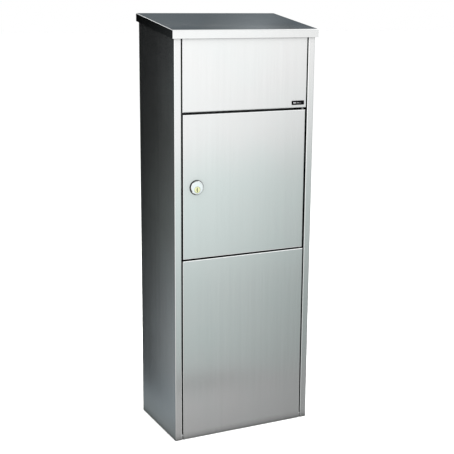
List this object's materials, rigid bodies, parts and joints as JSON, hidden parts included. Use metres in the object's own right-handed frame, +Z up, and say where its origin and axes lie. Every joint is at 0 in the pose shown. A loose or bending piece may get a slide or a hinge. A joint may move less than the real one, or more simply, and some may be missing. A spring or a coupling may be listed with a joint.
{
  "type": "book drop box",
  "caption": "Free-standing stainless drop box for books: top-hung drop hatch over a locked emptying door and a fixed lower panel, under a sloping roof.",
  "frame": {"origin": "middle of the overall footprint, on the ground", "axes": "+Z up; the front with the hatch and the door faces -Y; +X is to the right of someone facing the front"},
  "size_m": [0.392, 0.234, 1.0596],
  "materials": {
    "brushed_stainless": "vertical brushed grain, satin",
    "inner_stainless": "mill finish, faint grain",
    "bright_steel": "ground and bright",
    "zinc_plated_steel": "bright zinc plate",
    "spring_steel": "drawn wire, lightly oiled",
    "black_rubber": "matte",
    "bush_plastic": "matte black",
    "lock_chrome": "bright nickel-chrome plate",
    "plug_brass": "satin, turned face",
    "badge_black": "gloss black"
  },
  "bodies": {
    "housing": {"left_side_panel": "brushed_stainless", "right_side_panel": "brushed_stainless", "back_panel": "brushed_stainless", "roof_cap": "brushed_stainless", "base_plate": "brushed_stainless", "bottom_sill": "brushed_stainless", "lower_front_panel": "brushed_stainless", "left_roof_angle": "inner_stainless", "right_roof_angle": "inner_stainless", "upper_cross_rail": "inner_stainless", "lower_cross_rail": "inner_stainless", "header_rail": "inner_stainless", "storage_floor": "inner_stainless", "left_floor_support": "inner_stainless", "right_floor_support": "inner_stainless", "drop_chute": "inner_stainless", "upper_hinge_bracket": "inner_stainless", "lower_hinge_bracket": "inner_stainless", "upper_hinge_pin": "bright_steel", "lower_hinge_pin": "bright_steel", "back_rivets": "zinc_plated_steel", "roof_studs": "zinc_plated_steel", "roof_nuts": "zinc_plated_steel", "lower_panel_spacers": "zinc_plated_steel", "lower_panel_screws": "zinc_plated_steel", "lower_panel_nuts": "zinc_plated_steel", "left_hatch_spring": "spring_steel", "right_hatch_spring": "spring_steel", "hatch_bumpers": "black_rubber", "door_seal": "black_rubber", "left_rod_bush": "bush_plastic", "right_rod_bush": "bush_plastic"},
    "hatch": {"hatch_panel": "brushed_stainless", "left_cheek": "inner_stainless", "right_cheek": "inner_stainless", "baffle_plate": "inner_stainless", "hatch_rod": "bright_steel", "rod_clips": "zinc_plated_steel", "hatch_stop_buffers": "black_rubber", "badge_plate": "badge_black"},
    "door": {"door_panel": "brushed_stainless", "door_stiffener": "inner_stainless", "upper_door_bush": "bush_plastic", "lower_door_bush": "bush_plastic", "lock_body": "lock_chrome", "lock_gasket": "black_rubber", "lock_washer": "zinc_plated_steel", "lock_nut": "zinc_plated_steel"},
    "lock": {"lock_plug": "plug_brass", "lock_cam": "zinc_plated_steel", "cam_screw": "zinc_plated_steel"}
  },
  "joints": [
    {"name": "hatch_hinge", "type": "hinge", "parent": "housing", "child": "hatch", "pos_m": [0, -0.103, 1], "axis": [-1, 0, 0], "range_deg": [0, 70], "stiffness_Nm_per_rad": 0.4, "springref_deg": -171.89, "deforming": ["left_hatch_spring", "right_hatch_spring"]},
    {"name": "door_hinge", "type": "hinge", "parent": "housing", "child": "door", "pos_m": [0.161, -0.104, 0.65], "axis": [0, 0, 1], "range_deg": [0, 110]},
    {"name": "lock_turn", "type": "hinge", "parent": "door", "child": "lock", "pos_m": [-0.1325, -0.111, 0.645], "axis": [0, -1, 0], "range_deg": [0, 90]}
  ]
}
